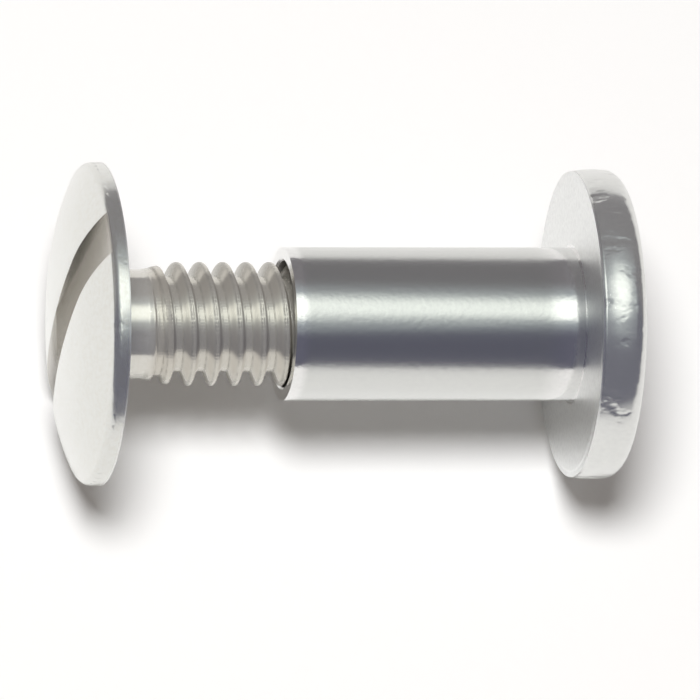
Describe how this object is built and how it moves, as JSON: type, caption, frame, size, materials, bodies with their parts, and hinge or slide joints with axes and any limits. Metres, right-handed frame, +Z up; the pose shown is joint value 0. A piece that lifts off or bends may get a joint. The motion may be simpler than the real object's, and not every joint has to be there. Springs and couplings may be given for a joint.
{
  "type": "binding barrel screw",
  "caption": "Binding post in two pieces: a barrel with a domed head and a threaded bore, and a slotted domed screw that turns into it to clamp sheets between the heads.",
  "frame": {"origin": "on the shared axis, halfway along the barrel's plain outside", "axes": "+X along the axis from the screw's head to the barrel's head, +Z up as it lies"},
  "size_m": [0.0197, 0.0108, 0.0108],
  "materials": {
    "barrel_metal": "polished",
    "screw_metal": "polished, with a duller rolled thread"
  },
  "bodies": {
    "barrel": {"barrel": "barrel_metal"},
    "screw": {"screw": "screw_metal"}
  },
  "joints": [
    {"name": "screw_travel", "type": "slide", "parent": "barrel", "child": "screw", "axis": [-1, 0, 0], "range_m": [-0.0062, 0.0035]}
  ]
}
